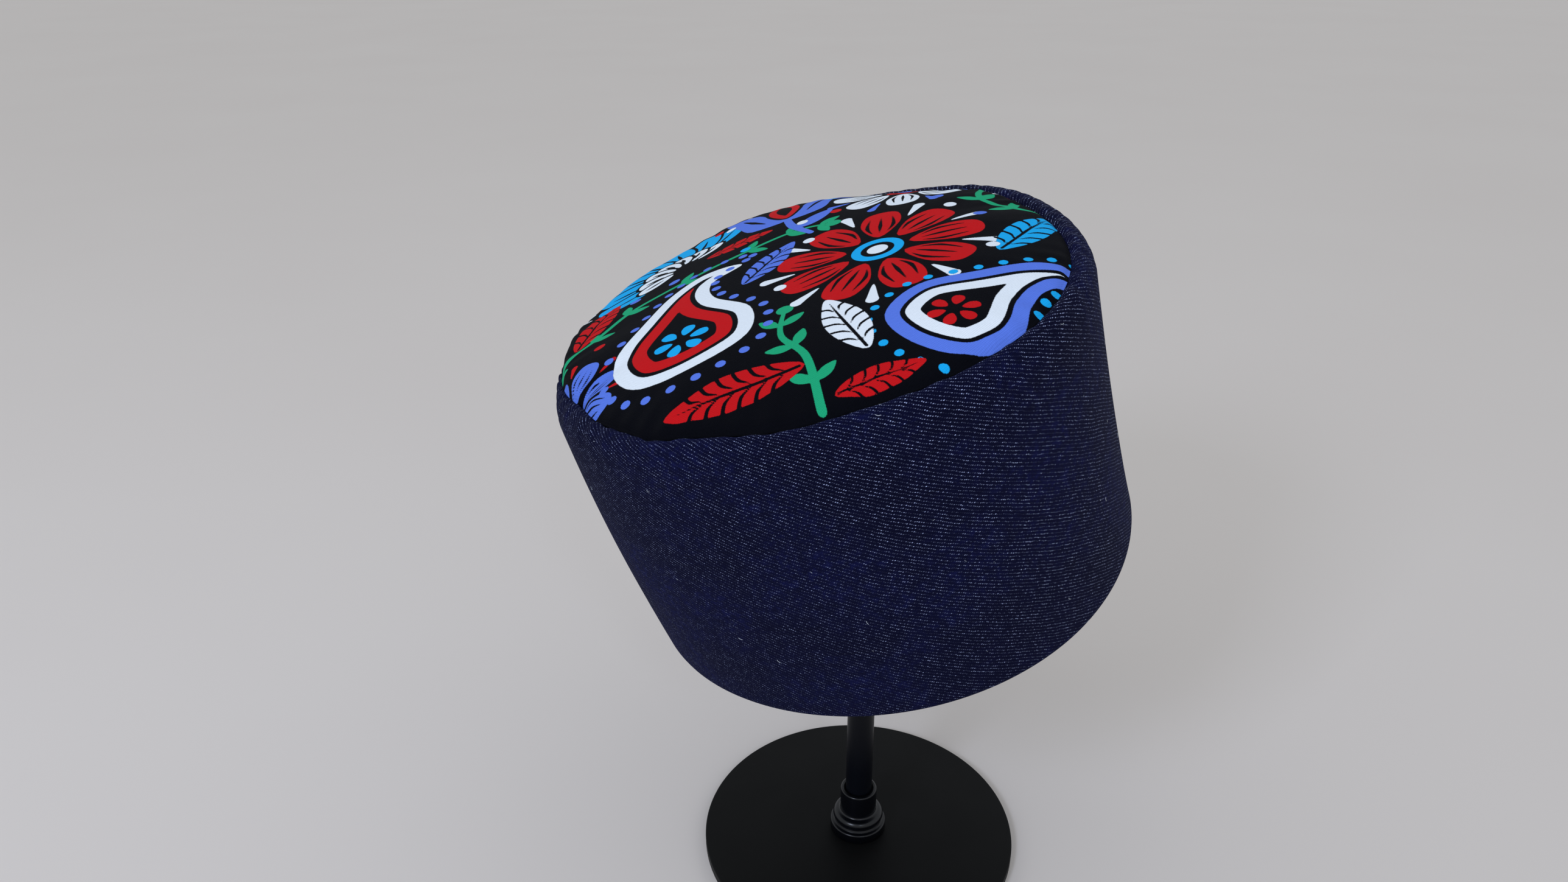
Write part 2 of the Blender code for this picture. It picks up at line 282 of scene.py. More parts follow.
def raw_denim():
    """Raw indigo denim: a 3/1 right-hand twill of dark warp floats, with the pale weft in flecks between.

    Unwashed, so it is almost black with a violet cast, dry and slightly fuzzy.
    """
    look = {
        "Roughness": 0.88,
        "Specular IOR Level": 0.06,
        "Sheen Weight": 0.03,
        "Sheen Roughness": 0.4,
        "Sheen Tint": linear("#5560c8"),
    }
    finish, tree, shader = new_material("raw_indigo_denim", look)
    soft_step = {"interpolation_type": "SMOOTHSTEP"}

    # Yarns counted across the cloth: they wander over centimetres and tremble over millimetres
    place = add_node(tree, "ShaderNodeUVMap", uv_map="cloth").outputs["UV"]
    axes = add_node(tree, "ShaderNodeSeparateXYZ", place)
    drift = 0.0
    for size, detail, yarns in ((WANDER_SIZE, 2.0, 2.4), (TREMBLE_SIZE, 1.0, 0.7)):
        noise = add_node(tree, "ShaderNodeTexNoise", {"Vector": place, "Scale": 1.0 / size, "Detail": detail})
        aside = add_node(tree, "ShaderNodeMath", noise, yarns, -0.5 * yarns, operation="MULTIPLY_ADD")
        drift = add_node(tree, "ShaderNodeMath", drift, aside, operation="ADD")
    weft, warp = (
        add_node(tree, "ShaderNodeMath", axis, 1.0 / pitch, drift, operation="MULTIPLY_ADD")
        for axis, pitch in ((axes.outputs[0], WEFT_PITCH), (axes.outputs[1], WARP_PITCH))
    )
    row = add_node(tree, "ShaderNodeMath", warp, operation="FLOOR")
    across = add_node(tree, "ShaderNodeMath", warp, operation="FRACT")
    stepped = add_node(tree, "ShaderNodeMath", weft, row, operation="ADD")
    lift = add_node(tree, "ShaderNodeMath", stepped, TWILL_REPEAT, operation="DIVIDE")
    along = add_node(tree, "ShaderNodeMath", lift, operation="FRACT")

    # Where the warp dips under, the weft shows as a small pale oval, a little out of line and half covered.
    # It reaches an eighth of the repeat along the row and half a yarn across it, and its strength varies
    dip = add_node(tree, "ShaderNodeMath", lift, operation="FLOOR")
    where = add_node(tree, "ShaderNodeCombineXYZ", dip, row)
    toss = add_node(tree, "ShaderNodeTexWhiteNoise", {"Vector": where}, noise_dimensions="2D")
    tosses = add_node(tree, "ShaderNodeSeparateColor", toss.outputs["Color"]).outputs
    squares = []
    for share, narrowness, own_toss in ((along, 8.0, tosses[1]), (across, 2.0, tosses[2])):
        middle = add_node(tree, "ShaderNodeMath", own_toss, 0.9, -1.45, operation="MULTIPLY_ADD")
        off = add_node(tree, "ShaderNodeMath", share, narrowness, middle, operation="MULTIPLY_ADD")
        squares.append(add_node(tree, "ShaderNodeMath", off, off, operation="MULTIPLY"))
    off_middle = add_node(tree, "ShaderNodeMath", *squares, operation="ADD")
    oval = add_node(tree, "ShaderNodeMapRange", off_middle, 0.2, 0.95, 1.0, 0.0, **soft_step)
    own = add_node(tree, "ShaderNodeMath", toss.outputs["Value"], 2.4, operation="POWER")
    own = add_node(tree, "ShaderNodeMath", own, 0.08, operation="ADD")
    grain = {"Vector": place, "Scale": 1.0 / CLUSTER_SIZE, "Detail": 3.0, "Roughness": 0.6}
    clusters = add_node(tree, "ShaderNodeTexNoise", grain)
    clusters = add_node(tree, "ShaderNodeMapRange", clusters, 0.34, 0.66, 0.3, 1.25, **soft_step)

    # Patches where the nap lies over the flecks make the cloth bluer and fuzzier. Painted light also dims the
    # flecks towards the lower left as painted shade, and keeps them full at the upper right
    body_place = add_node(tree, "ShaderNodeTexCoord").outputs["Object"]
    body_axes = add_node(tree, "ShaderNodeSeparateXYZ", body_place).outputs
    grain = {"Vector": body_place, "Scale": 1.0 / (NAP_PATCH * MM), "Detail": 4.0, "Roughness": 0.62}
    nap = add_node(tree, "ShaderNodeTexNoise", grain)
    nap = add_node(tree, "ShaderNodeMapRange", nap, 0.38, 0.64, 0.0, 1.0, **soft_step)
    clear = add_node(tree, "ShaderNodeMath", nap, -0.45, 0.95, operation="MULTIPLY_ADD")
    # Painted light: the flecks fade towards the lower left as though in shade, and are brightest at the upper
    # right, as if lit from above and the right
    upper_right = add_node(tree, "ShaderNodeMath", body_axes[0], 0.5, body_axes[2], operation="MULTIPLY_ADD")
    painted_light_on_flecks = add_node(tree, "ShaderNodeMapRange", upper_right, 0.12, 0.24, 0.42, 1.0, **soft_step)
    fleck = oval
    for share in (own, clusters, clear, painted_light_on_flecks):
        fleck = add_node(tree, "ShaderNodeMath", fleck, share, operation="MULTIPLY")

    # Each warp yarn takes the dye a little differently along its length
    thinned = STREAK_WIDTH / STREAK_LENGTH
    length_way = add_node(tree, "ShaderNodeMath", axes.outputs[0], thinned, operation="MULTIPLY")
    yarn_place = add_node(tree, "ShaderNodeCombineXYZ", length_way, row)
    grain = {"Vector": yarn_place, "Scale": 1.0 / STREAK_WIDTH, "Detail": 1.0}
    streak = add_node(tree, "ShaderNodeTexNoise", grain)
    colours = {"Factor": streak, 6: linear(DYE_COLOURS[0]), 7: linear(DYE_COLOURS[1])}
    dye = add_node(tree, "ShaderNodeMix", colours, data_type="RGBA").outputs[2]

    # Fuzz on the yarns lightens the dye, most where the nap lies and in small soft blots
    grain = {"Vector": place, "Scale": 1.0 / FUZZ_SIZE, "Detail": 3.0, "Roughness": 0.7}
    fuzz = add_node(tree, "ShaderNodeTexNoise", grain)
    grain = {"Vector": place, "Scale": 1.0 / MOTTLE_SIZE, "Detail": 4.0, "Roughness": 0.7}
    blots = add_node(tree, "ShaderNodeTexNoise", grain)
    blots = add_node(tree, "ShaderNodeMapRange", blots, 0.42, 0.68, 0.25, 1.3, **soft_step)
    haze = nap
    for share in (fuzz, blots):
        haze = add_node(tree, "ShaderNodeMath", haze, share, operation="MULTIPLY")
    colours = {"Factor": haze, 6: dye, 7: linear(NAP_COLOUR)}
    napped = add_node(tree, "ShaderNodeMix", colours, data_type="RGBA").outputs[2]
    colours = {"Factor": fleck, 6: napped, 7: linear(WEFT_COLOUR)}
    colour = add_node(tree, "ShaderNodeMix", colours, data_type="RGBA").outputs[2]
    tree.links.new(colour, shader.inputs["Base Color"])

    # The relief of the floats: each one is round across and long along the twill
    half_turn = add_node(tree, "ShaderNodeMath", across, math.pi, operation="MULTIPLY")
    ridge = add_node(tree, "ShaderNodeMath", half_turn, operation="SINE")
    half_turn = add_node(tree, "ShaderNodeMath", along, math.pi, -0.125 * math.pi, operation="MULTIPLY_ADD")
    crest = add_node(tree, "ShaderNodeMath", half_turn, operation="SINE")
    crest = add_node(tree, "ShaderNodeMath", crest, operation="ABSOLUTE")
    crest = add_node(tree, "ShaderNodeMath", crest, 0.7, 0.3, operation="MULTIPLY_ADD")
    height = add_node(tree, "ShaderNodeMath", ridge, crest, operation="MULTIPLY")
    height = add_node(tree, "ShaderNodeMath", fuzz, 0.6, height, operation="MULTIPLY_ADD")
    relief = {"Strength": 0.8, "Distance": DENIM_RELIEF * MM, "Height": height}
    tree.links.new(add_node(tree, "ShaderNodeBump", relief).outputs[0], shader.inputs["Normal"])
    return finish


def band_rings():
    """The band's rings from the seam edge out over the shoulder, down to the rim, and up inside to the seam.

    Each ring is its points all round, from the back seam on, and the last one joins the first.
    """
    angle = BACK_SEAM + 2.0 * math.pi * np.arange(BAND_COLUMNS) / BAND_COLUMNS
    inset = seam_inset(angle)
    seam = seam_radius(angle)
    level = seam_level(angle)
    shoulder = SHOULDER_HEIGHT + level
    roll = SEAM_HEIGHT - SHOULDER_HEIGHT
    half = 0.5 * BAND_WALL
    column = np.arange(BAND_COLUMNS)
    from_back = np.minimum(column, BAND_COLUMNS - column) * STRIP_LENGTH / BAND_COLUMNS
    back_groove = BACK_SEAM_DEPTH * np.exp(-((from_back / BACK_SEAM_WIDTH) ** 2))
    pucker = soft_waves(angle, 0.0, PUCKER_COUNT, *PUCKER_WAVES, DENIM_SEED)
    rings = []

    def relief(height, from_seam):
        """Soft swells over the wall, and puckers that fade away from the crown seam."""
        swell = SWELL * soft_waves(angle, height, SWELL_COUNT, *SWELL_WAVES, DENIM_SEED + 1)
        free = np.clip(height / SWELL_CLEAR_OF_RIM, 0.0, 1.0)
        free = free * np.clip(from_seam / SWELL_CLEAR_OF_SEAM, 0.0, 1.0)
        return swell * free + PUCKER * pucker * np.exp(-from_seam / PUCKER_REACH) - back_groove

    def outer(a):
        """The shoulder roll at an angle from the wall (0) to the seam (a quarter turn)."""
        out = inset * math.cos(a)
        from_seam = out + roll * (1.0 - math.sin(a))
        lifted = relief(SHOULDER_HEIGHT + roll * math.sin(a), from_seam)
        radius = seam + out + lifted * math.cos(a)
        height = shoulder + roll * math.sin(a) + lifted * math.sin(a) - seam_dip(out)
        return cap_points(angle, 1.0, radius, height)

    for drop in SEAM_EDGES:
        rings.append(cap_points(angle, 1.0, seam, SEAM_HEIGHT + level - drop))
    for a in np.radians(SHOULDER_TURNS):
        rings.append(outer(a))
    for up in np.linspace(1.0, 0.0, WALL_RINGS):
        from_seam = inset + roll + (1.0 - up) * SHOULDER_HEIGHT
        lifted = relief(up * SHOULDER_HEIGHT, from_seam)
        height = up * shoulder + (half if up == 0 else 0)
        rings.append(cap_points(angle, up, band_radius(angle, up) + lifted, height))
    for a in np.radians(FOLD_TURNS):
        radius = band_radius(angle, 0.0) - half + half * math.cos(a) - back_groove
        rings.append(cap_points(angle, 0.0, radius, half + half * math.sin(a)))
    for up in np.linspace(0.0, 1.0, INSIDE_RINGS):
        height = up * shoulder + (half if up == 0 else 0)
        rings.append(cap_points(angle, up, band_radius(angle, up) - BAND_WALL, height))
    for a in np.radians(INSIDE_TURNS):
        radius = seam + (inset - BAND_WALL) * math.cos(a)
        height = shoulder + (roll - BAND_WALL) * math.sin(a) - INSIDE_SINK
        rings.append(cap_points(angle, 1.0, radius, height))
    return rings


def build_band():
    rings = band_rings()
    count = len(rings)
    points = np.concatenate(rings)
    spans = [np.linalg.norm(b - a, axis=1).mean() for a, b in zip(rings, rings[1:])]
    travelled = np.concatenate([[0.0], np.cumsum(spans)])
    fold = travelled[len(SEAM_EDGES) + len(SHOULDER_TURNS) + WALL_RINGS + FOLD_TURNS.index(-90)]
    closing = travelled[-1] + np.linalg.norm(rings[0] - rings[-1], axis=1).mean()
    from_fold = fold - np.append(travelled, closing)
    row, column = np.meshgrid(np.arange(count), np.arange(BAND_COLUMNS), indexing="ij")
    row, column = row.ravel(), column.ravel()
    below, beside = (row + 1) % count, (column + 1) % BAND_COLUMNS
    faces = np.stack(
        [
            row * BAND_COLUMNS + column,
            below * BAND_COLUMNS + column,
            below * BAND_COLUMNS + beside,
            row * BAND_COLUMNS + beside,
        ],
        axis=1,
    )
    along = STRIP_LENGTH * np.stack([column, column, column + 1, column + 1], axis=1) / BAND_COLUMNS
    height = np.stack([from_fold[row], from_fold[row + 1], from_fold[row + 1], from_fold[row]], axis=1)
    flat = np.stack([along, height], axis=-1).reshape(-1, 2)
    return cloth_piece("denim_band", points, faces.tolist(), flat, raw_denim())


band = build_band()
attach(band, "root")
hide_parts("band")


# The crown: a disc of plain-weave cotton printed in five colours on black, backed with a stiff lining. It is
# sewn to the band with both edges turned down inside, domes a little over its rest and falls away beyond a
# soft ridge.

CROWN_WALL = 1.4
SEAM_PLAY = 0.1
TURNED_EDGES = (0.7, 1.5)
LINING_DROP = 1.2
TUCKS = (
    # angle in degrees, then mm: length, depth and width
    (213.0, 26.0, 1.8, 7.0),
    (243.0, 12.0, 0.8, 6.0),
    (322.0, 14.0, 0.7, 8.0),
    (48.0, 12.0, 0.7, 8.0),
)
CROWN_CELLS = 280
LINING_CELLS = 70

# Slack in the cloth: puckers that fade in from the seam, and faint folds a little way in
CROWN_PUCKER = 0.26
CROWN_PUCKER_REACH = 7.0
CROWN_PUCKER_WAVES = (40, 76)
CROWN_FOLD = 0.35
CROWN_FOLD_PLACE = 14.0
CROWN_FOLD_SPREAD = 18.0
CROWN_FOLD_WAVES = (5, 17)
CROWN_FOLD_COUNT = 6
HELD_AT_SEAM = 1.5
CROWN_SEED = 5

# The cotton's threads and grain, and the ink's soft edge. A motif's distance is worked out up to INK_REACH
# outside it, and NO_INK stands for the distance of every place beyond that
THREAD_PITCH = 0.38
COTTON_GRAIN = 0.71
COTTON_RELIEF = 0.06
INK_EDGE = 0.09
INK_REACH = 3.0
NO_INK = 9.0
COTTON_COLOURS = ("#010207", "#05060e")
INKS = {"red": "#c8141a", "blue": "#5b7ce2", "white": "#e8f0f8", "cyan": "#18acef", "green": "#1fa876"}


def disc(cells):
    """A square grid of points laid over a disc: each one's angle and its share of the way out, row by row."""
    side = np.linspace(-1.0, 1.0, cells + 1)
    a, b = np.meshgrid(side, side, indexing="ij")
    wide = np.abs(a) > np.abs(b)
    first = np.where(wide, a, b)
    second = np.where(wide, b, a)
    eighth = 0.25 * math.pi * np.divide(second, first, out=np.zeros_like(first), where=first != 0.0)
    angle = np.where(wide, eighth, 0.5 * math.pi - eighth) + np.where(first < 0.0, math.pi, 0.0)
    return angle.ravel(), np.abs(first).ravel()


def disc_edge(cells):
    """Indices of the grid's edge, in order round the disc."""
    n = cells + 1
    grid = np.arange(n * n).reshape(n, n)
    return np.concatenate([grid[:-1, 0], grid[-1, :-1], grid[:0:-1, -1], grid[0, :0:-1]])


def disc_faces(cells):
    n = cells + 1
    grid = np.arange(n * n).reshape(n, n)
    return np.stack([grid[:-1, :-1], grid[1:, :-1], grid[1:, 1:], grid[:-1, 1:]], axis=-1).reshape(-1, 4)


def crown_height(angle, share):
    """Height in mm of the crown's face over the seam's plane, with the tucks where its edge is eased in."""
    height = smooth_crown(angle, share)
    reach = share * seam_radius(angle)
    from_seam = seam_radius(angle) - reach
    for degrees, length, depth, width in TUCKS:
        sideways = turn_between(angle, math.radians(degrees)) * reach
        along = np.clip(1.0 - from_seam / length, 0.0, None)
        height = height - depth * along * np.exp(-((sideways / (0.5 * width)) ** 2))
    return height


def crown_relief(angle, share):
    """Small slack in the cloth: puckers at the seam and faint folds further in."""
    from_seam = (1.0 - share) * seam_radius(angle)
    pucker = CROWN_PUCKER * soft_waves(angle, 0.0, PUCKER_COUNT, *CROWN_PUCKER_WAVES, CROWN_SEED)
    pucker = pucker * np.exp(-from_seam / CROWN_PUCKER_REACH)
    fold = CROWN_FOLD * soft_waves(angle, from_seam, CROWN_FOLD_COUNT, *CROWN_FOLD_WAVES, CROWN_SEED + 1)
    fold = fold * np.exp(-(((from_seam - CROWN_FOLD_PLACE) / CROWN_FOLD_SPREAD) ** 2))
    return (pucker + fold) * np.clip(from_seam / HELD_AT_SEAM, 0.0, 1.0) - seam_dip(from_seam)


def smooth_line(points, closed, steps=6):
    """Points along a soft curve through a few given ones."""
    p = np.array(points, float)
    n = len(p)
    t = np.linspace(0.0, 1.0, steps, endpoint=False)[:, None]
    parts = []
    for i in range(n if closed else n - 1):
        a, b = p[i - 1 if closed else max(i - 1, 0)], p[i]
        c, d = p[(i + 1) % n], p[(i + 2) % n if closed else min(i + 2, n - 1)]
        bend = (2 * a - 5 * b + 4 * c - d) * t**2 + (3 * b - a - 3 * c + d) * t**3
        parts.append(0.5 * (2 * b + (c - a) * t + bend))
    if not closed:
        parts.append(p[-1:])
    return np.concatenate(parts)


class Print:
    """Ink laid on cloth: for each colour, each point's distance in mm from its edge, negative inside."""

    def __init__(self, x, y):
        self.x = x
        self.y = y
        self.ink = {name: np.full(len(x), NO_INK) for name in INKS}

    def lay(self, colour, distance, where):
        for name, field in self.ink.items():
            if name == colour:
                field[where] = np.minimum(field[where], distance)
            else:
                field[where] = np.maximum(field[where], -distance)

    def near(self, line, reach):
        low = line.min(0) - reach
        high = line.max(0) + reach
        inside_x = (self.x > low[0]) & (self.x < high[0])
        inside_y = (self.y > low[1]) & (self.y < high[1])
        return np.nonzero(inside_x & inside_y)[0]

    def segments(self, line, where, widths=None):
        """The points' distance from a line, less its half width, and whether they lie inside the line."""
        px, py = self.x[where], self.y[where]
        best = np.full(len(where), 1e9)
        inside = np.zeros(len(where), bool)
        for i in range(len(line) - 1):
            (ax, ay), (bx, by) = line[i], line[i + 1]
            dx, dy = bx - ax, by - ay
            t = np.clip(((px - ax) * dx + (py - ay) * dy) / max(dx * dx + dy * dy, 1e-9), 0.0, 1.0)
            d = np.hypot(px - ax - t * dx, py - ay - t * dy)
            if widths is not None:
                d = d - (widths[i] + (widths[i + 1] - widths[i]) * t)
            elif dy:
                inside ^= ((ay > py) != (by > py)) & (px < ax + (py - ay) * dx / dy)
            best = np.minimum(best, d)
        return best, inside

    def shape(self, outline, bands):
        """A closed outline, filled in nested bands: (colour, how far inside the edge it starts)."""
        line = np.concatenate([outline, outline[:1]])
        where = self.near(line, INK_REACH)
        distance, inside = self.segments(line, where)
        distance = np.where(inside, -distance, distance)
        for colour, depth in bands:
            self.lay(colour, distance + depth, where)

    def stroke(self, line, colour, start, middle, end):
        """A brush stroke: half widths at its start, middle and end."""
        share = np.linspace(0.0, 1.0, len(line))
        widths = np.interp(share, (0.0, 0.5, 1.0), (start, middle, end))
        where = self.near(line, middle + INK_REACH)
        self.lay(colour, self.segments(line, where, widths)[0], where)

    def dot(self, x, y, radius, colour):
        where = self.near(np.array([[x, y]]), radius + INK_REACH)
        self.lay(colour, np.hypot(self.x[where] - x, self.y[where] - y) - radius, where)


# Outlines of the motifs, each in units of its own size
BOTEH = (
    (0.0, -1.0), (0.62, -0.8), (0.78, -0.2), (0.5, 0.42), (0.55, 0.9), (0.95, 1.12),
    (0.5, 1.34), (0.05, 1.08), (-0.36, 0.5), (-0.76, -0.1), (-0.62, -0.78),
)
PETAL = ((0.3, 0.0), (0.62, 0.23), (0.92, 0.2), (1.0, 0.0), (0.92, -0.2), (0.62, -0.23))
LEAF = (
    (-1.0, 0.0), (-0.5, 0.3), (0.1, 0.36), (0.65, 0.2), (1.0, 0.0), (0.65, -0.2), (0.1, -0.36), (-0.5, -0.3),
)
TULIP_BLADE = ((0.08, -1.0), (0.3, -0.72), (0.62, -0.62), (0.5, -0.9), (0.28, -1.06))
TULIP_SIDE = ((0.02, -0.5), (0.5, -0.42), (0.68, 0.1), (0.86, 0.72), (0.42, 0.5), (0.22, 0.0))
TULIP_HEART = ((0.0, -0.36), (0.2, 0.02), (0.2, 0.42), (0.0, 0.92), (-0.2, 0.42), (-0.2, 0.02))


class Motif:
    """A motif's place on the cloth in mm, its size and its turn. It draws what is given in its own units."""

    def __init__(self, ink, x, y, size, degrees=0.0):
        self.ink = ink
        self.x = x
        self.y = y
        self.size = size
        self.degrees = degrees

    def points(self, outline, more=0.0, scale=1.0):
        a = math.radians(self.degrees + more)
        p = np.array(outline, float) * self.size * scale
        x = self.x + p[:, 0] * math.cos(a) - p[:, 1] * math.sin(a)
        y = self.y + p[:, 0] * math.sin(a) + p[:, 1] * math.cos(a)
        return np.stack([x, y], axis=1)

    def fill(self, outline, bands, more=0.0, scale=1.0, steps=4):
        depths = [(colour, depth * self.size) for colour, depth in bands]
        self.ink.shape(smooth_line(self.points(outline, more, scale), True, steps), depths)

    def line(self, path, colour, start, middle, end, more=0.0, scale=1.0):
        curve = smooth_line(self.points(path, more, scale), False, 4)
        self.ink.stroke(curve, colour, start * self.size, middle * self.size, end * self.size)

    def spot(self, place, radius, colour, more=0.0):
        x, y = self.points([place], more)[0]
        self.ink.dot(x, y, radius * self.size, colour)


def boteh(ink, x, y, size, degrees, outer, inner, heart, beads):
    """A paisley: two bands, a row of beads round them and a small flower inside."""
    motif = Motif(ink, x, y, size, degrees)
    motif.fill(BOTEH, ((outer, 0.0), ("black", 0.17), (inner, 0.23), ("black", 0.4)), steps=6)
    for place in smooth_line(np.array(BOTEH) * 1.17 + (0.0, -0.03), True, 3):
        motif.spot(place, 0.055, beads)
    flower = Motif(ink, *motif.points([(0.0, -0.32)])[0], 0.3 * size, degrees)
    for i in range(6):
        flower.fill(PETAL, ((heart, 0.0),), more=60.0 * i, steps=3)


def rosette(ink, x, y, size, degrees, petals, colour, tips, heart):
    """A round flower: slit petals with a drop between their tips, about a ringed heart."""
    motif = Motif(ink, x, y, size, degrees)
    for i in range(petals):
        more = 360.0 * i / petals
        motif.fill(np.array(PETAL) * (1.0, 7.4 / petals), ((colour, 0.0),), more)
        for side in (-1, 0, 1):
            slit = ((0.42, 0.07 * side), (0.6, 0.13 * side), (0.84, 0.11 * side))
            motif.line(slit, "black", 0.004, 0.022, 0.006, more)
        motif.line(((0.8, 0.0), (1.08, 0.0)), tips, 0.01, 0.035, 0.06, more + 180.0 / petals)
    for radius, ring in ((0.3, "black"), (0.25, heart), (0.16, "black"), (0.1, tips)):
        motif.spot((0.0, 0.0), radius, ring)


def leaf(ink, x, y, size, degrees, colour, veins):
    """A long leaf cut by slanting veins."""
    motif = Motif(ink, x, y, size, degrees)
    motif.fill(LEAF, ((colour, 0.0),))
    motif.line(((-0.92, 0.0), (0.0, 0.02), (0.8, 0.0)), "black", 0.03, 0.03, 0.008)
    for start in np.linspace(-0.7, 0.45, veins):
        for side in (-1, 1):
            reach = 0.34 - 0.3 * max(start, 0.0)
            vein = ((start, 0.05 * side), (start + 0.14, 0.5 * reach * side), (start + 0.2, reach * side))
            motif.line(vein, "black", 0.01, 0.028, 0.03)


def tulip(ink, x, y, size, degrees, sides, middle):
    """A tulip growing along +Y: two flaring petals, a pointed one between them, and a stem with one blade."""
    motif = Motif(ink, x, y, size, degrees)
    motif.line(((0.0, -0.4), (0.05, -0.9), (0.25, -1.4)), sides, 0.05, 0.06, 0.04)
    motif.fill(TULIP_BLADE, ((sides, 0.0),))
    for side in (-1, 1):
        motif.fill(np.array(TULIP_SIDE) * (side, 1.0), ((sides, 0.0),))
        slit = ((0.3 * side, -0.26), (0.46 * side, 0.08), (0.6 * side, 0.42))
        motif.line(slit, "black", 0.01, 0.035, 0.01)
    motif.fill(TULIP_HEART, (("black", -0.05), (middle, 0.0), ("black", 0.11)))


def fan(ink, x, y, size, degrees, colour, edge, ribs):
    """A scalloped fan opening along +X: two rows of petals side by side, with a bead at each scallop."""
    motif = Motif(ink, x, y, size, degrees)
    spread = np.linspace(-70.0, 70.0, ribs)
    for reach, tone in ((1.0, colour), (0.56, edge)):
        for more in spread:
            motif.fill(np.array(PETAL) * (1.0, 0.72), (("black", -0.035), (tone, 0.0)), more, reach)
            motif.line(((0.5, 0.0), (0.86, 0.0)), "black", 0.006, 0.022, 0.006, more, reach)
    for more in spread:
        motif.spot((1.12, 0.0), 0.05, edge, more)


def vine(ink, points, colour, pairs, size):
    """A curving stem with paired leaves along it and a bud at its end."""
    line = smooth_line(points, False, 10)
    ink.stroke(line, colour, 1.3, 1.1, 0.6)
    steps = len(line) - 1
    for i in range(pairs):
        k = int(steps * (i + 0.6) / (pairs + 0.3))
        along = line[min(k + 1, steps)] - line[max(k - 1, 0)]
        heading = math.degrees(math.atan2(along[1], along[0]))
        for side in (-1, 1):
            blade = Motif(ink, *line[k], size, heading + 48.0 * side)
            blade.fill(np.array(LEAF) * (0.5, 0.62) + (0.6, 0.0), ((colour, 0.0),), steps=3)
    ink.dot(*line[-1], 0.32 * size, colour)


def draw_print(ink):
    """The folk print laid out on the crown, in mm from its middle: vines, then flowers, leaves and dots."""
    vine(ink, ((-96, -34), (-74, -14), (-58, 4), (-24, 18), (-4, 26), (10, 24)), "green", 7, 8.5)
    vine(ink, ((10, -94), (6, -72), (-2, -58), (-2, -42)), "green", 3, 8.5)
    vine(ink, ((96, 0), (74, 8), (60, 24), (62, 52), (50, 78)), "green", 5, 8.0)
    fan(ink, -46, 31, 37, 134, "cyan", "white", 7)
    rosette(ink, -76, -54, 21, 22, 8, "blue", "red", "white")
    boteh(ink, -38, -34, 30, 18, "white", "red", "cyan", "blue")
    rosette(ink, 26, -12, 34, 8, 9, "red", "white", "cyan")
    boteh(ink, 53, -57, 25, -46, "blue", "white", "red", "cyan")
    tulip(ink, -11, 56, 27, 10, "blue", "red")
    rosette(ink, 34, 54, 26, 0, 8, "white", "blue", "red")
    rosette(ink, 80, 38, 15, 0, 8, "red", "white", "cyan")
    leaves = (
        # x, y, size, degrees, colour, veins
        (-15, -79, 21, 190, "red", 6),
        (-76, 2, 18, 78, "red", 5),
        (72, -14, 18, 58, "cyan", 5),
        (-11, 1, 16, 62, "blue", 5),
        (17, -58, 17, 112, "white", 5),
        (-26, 33, 13, 10, "red", 4),
        (26, -86, 13, 18, "red", 5),
        (8, 84, 13, -20, "red", 4),
        (66, 66, 13, -40, "cyan", 4),
    )
    for x, y, size, degrees, colour, veins in leaves:
        leaf(ink, x, y, size, degrees, colour, veins)
    dots = (
        # colour, radius, places
        ("white", 2.1, ((-5, -24), (50, 18), (-34, 62), (-85, 22), (61, -24), (2, 12), (-58, -76), (-2, 34))),
        ("red", 2.1, ((10, 38), (-68, -24), (-40, 66), (54, 84))),
        ("blue", 2.2, ((59, 5), (-49, 17), (-64, 14), (46, 30))),
        ("cyan", 2.0, ((6, 66), (-22, 22))),
    )
    for colour, radius, places in dots:
        for x, y in places:
            ink.dot(x, y, radius, colour)


